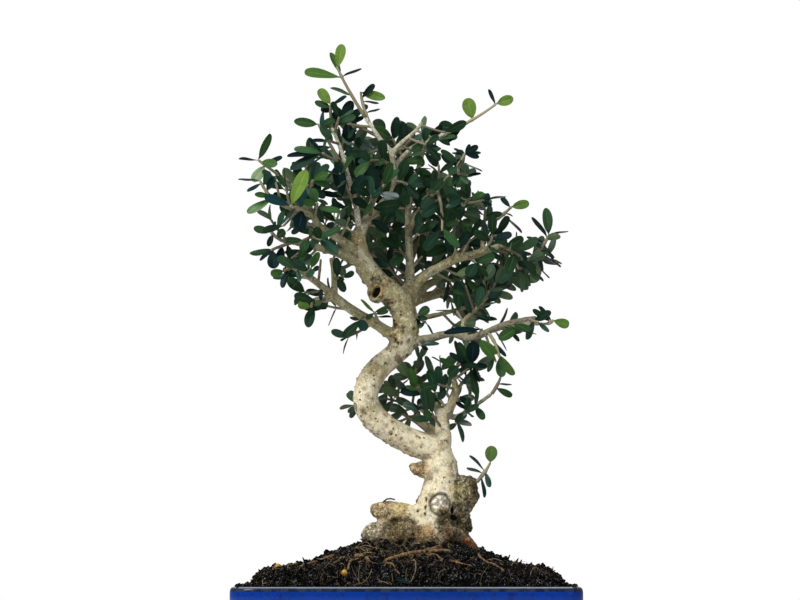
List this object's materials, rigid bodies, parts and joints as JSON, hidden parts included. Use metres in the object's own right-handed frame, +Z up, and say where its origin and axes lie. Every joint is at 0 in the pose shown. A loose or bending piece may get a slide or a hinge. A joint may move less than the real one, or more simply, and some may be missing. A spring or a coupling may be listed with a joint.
{
  "type": "olive bonsai",
  "caption": "Potted miniature olive tree with a twisting pale trunk, open branches and small oval leaves, standing in soil in a low rectangular glazed pot.",
  "frame": {"origin": "middle of the pot's footprint, on the surface that it stands on", "axes": "+Z up, front towards -Y, the pot's long side along X"},
  "size_m": [0.21, 0.16, 0.4064],
  "materials": {
    "bark": "rough pale bark with pits and brown cracks",
    "leaf_mature": "waxy dark blue-green leaf",
    "leaf_young": "waxy bright green leaf",
    "soil": "damp dark peat and bark",
    "glaze": "glossy cobalt blue glaze",
    "screen": "black plastic netting",
    "bead": "coated tan granule"
  },
  "bodies": {
    "root": {"pot": "glaze", "drain_screen_left": "screen", "drain_screen_right": "screen", "soil": "soil", "tree": "bark", "fertiliser_bead_1": "bead", "fertiliser_bead_2": "bead", "spray_apex": "leaf_young", "spray_pale_tip": "leaf_mature", "spray_pale_left": "leaf_mature", "spray_top_inner": "leaf_mature", "spray_top_right": "leaf_young", "spray_long_right": "leaf_young", "spray_upper_right": "leaf_mature", "spray_crown_back": "leaf_mature", "spray_crown_back_left": "leaf_mature", "spray_rise_tip": "leaf_young", "spray_out_tip": "leaf_young", "spray_big_front": "leaf_young", "spray_left_dark": "leaf_mature", "spray_left_high": "leaf_mature", "spray_left_mid_tip": "leaf_mature", "spray_left_mid_drop": "leaf_mature", "spray_low_out_tip": "leaf_mature", "spray_low_drop": "leaf_mature", "spray_low_rise": "leaf_mature", "spray_upper_under": "leaf_mature", "spray_leader_front": "leaf_mature", "spray_back_left_tip": "leaf_mature", "spray_back_left_mid": "leaf_mature", "spray_back_rise_mid": "leaf_mature", "spray_post_left": "leaf_mature", "spray_post_right": "leaf_mature", "spray_leader_tip": "leaf_mature", "spray_leader_side": "leaf_mature", "spray_front_right_tip": "leaf_mature", "spray_front_right_mid": "leaf_mature", "spray_back_right_tip": "leaf_mature", "spray_back_right_mid": "leaf_mature", "spray_out_right_tip": "leaf_young", "spray_out_right_mid": "leaf_mature", "spray_twig_up": "leaf_mature", "spray_stub_side": "leaf_mature", "spray_upper_tip": "leaf_mature", "spray_far_tip": "leaf_young", "spray_mid_tip": "leaf_mature", "spray_back_tip": "leaf_mature", "spray_thin_tip": "leaf_mature", "spray_rise_right": "leaf_mature", "spray_low_right_tip": "leaf_young", "spray_low_hang": "leaf_young", "spray_low_top": "leaf_mature", "spray_side_tip": "leaf_mature", "spray_side_left": "leaf_mature", "spray_side_out": "leaf_mature", "spray_side_drop": "leaf_mature", "spray_back_low": "leaf_mature", "spray_back_low_two": "leaf_mature", "spray_side_right": "leaf_mature", "spray_sprout": "leaf_young"}
  },
  "joints": []
}
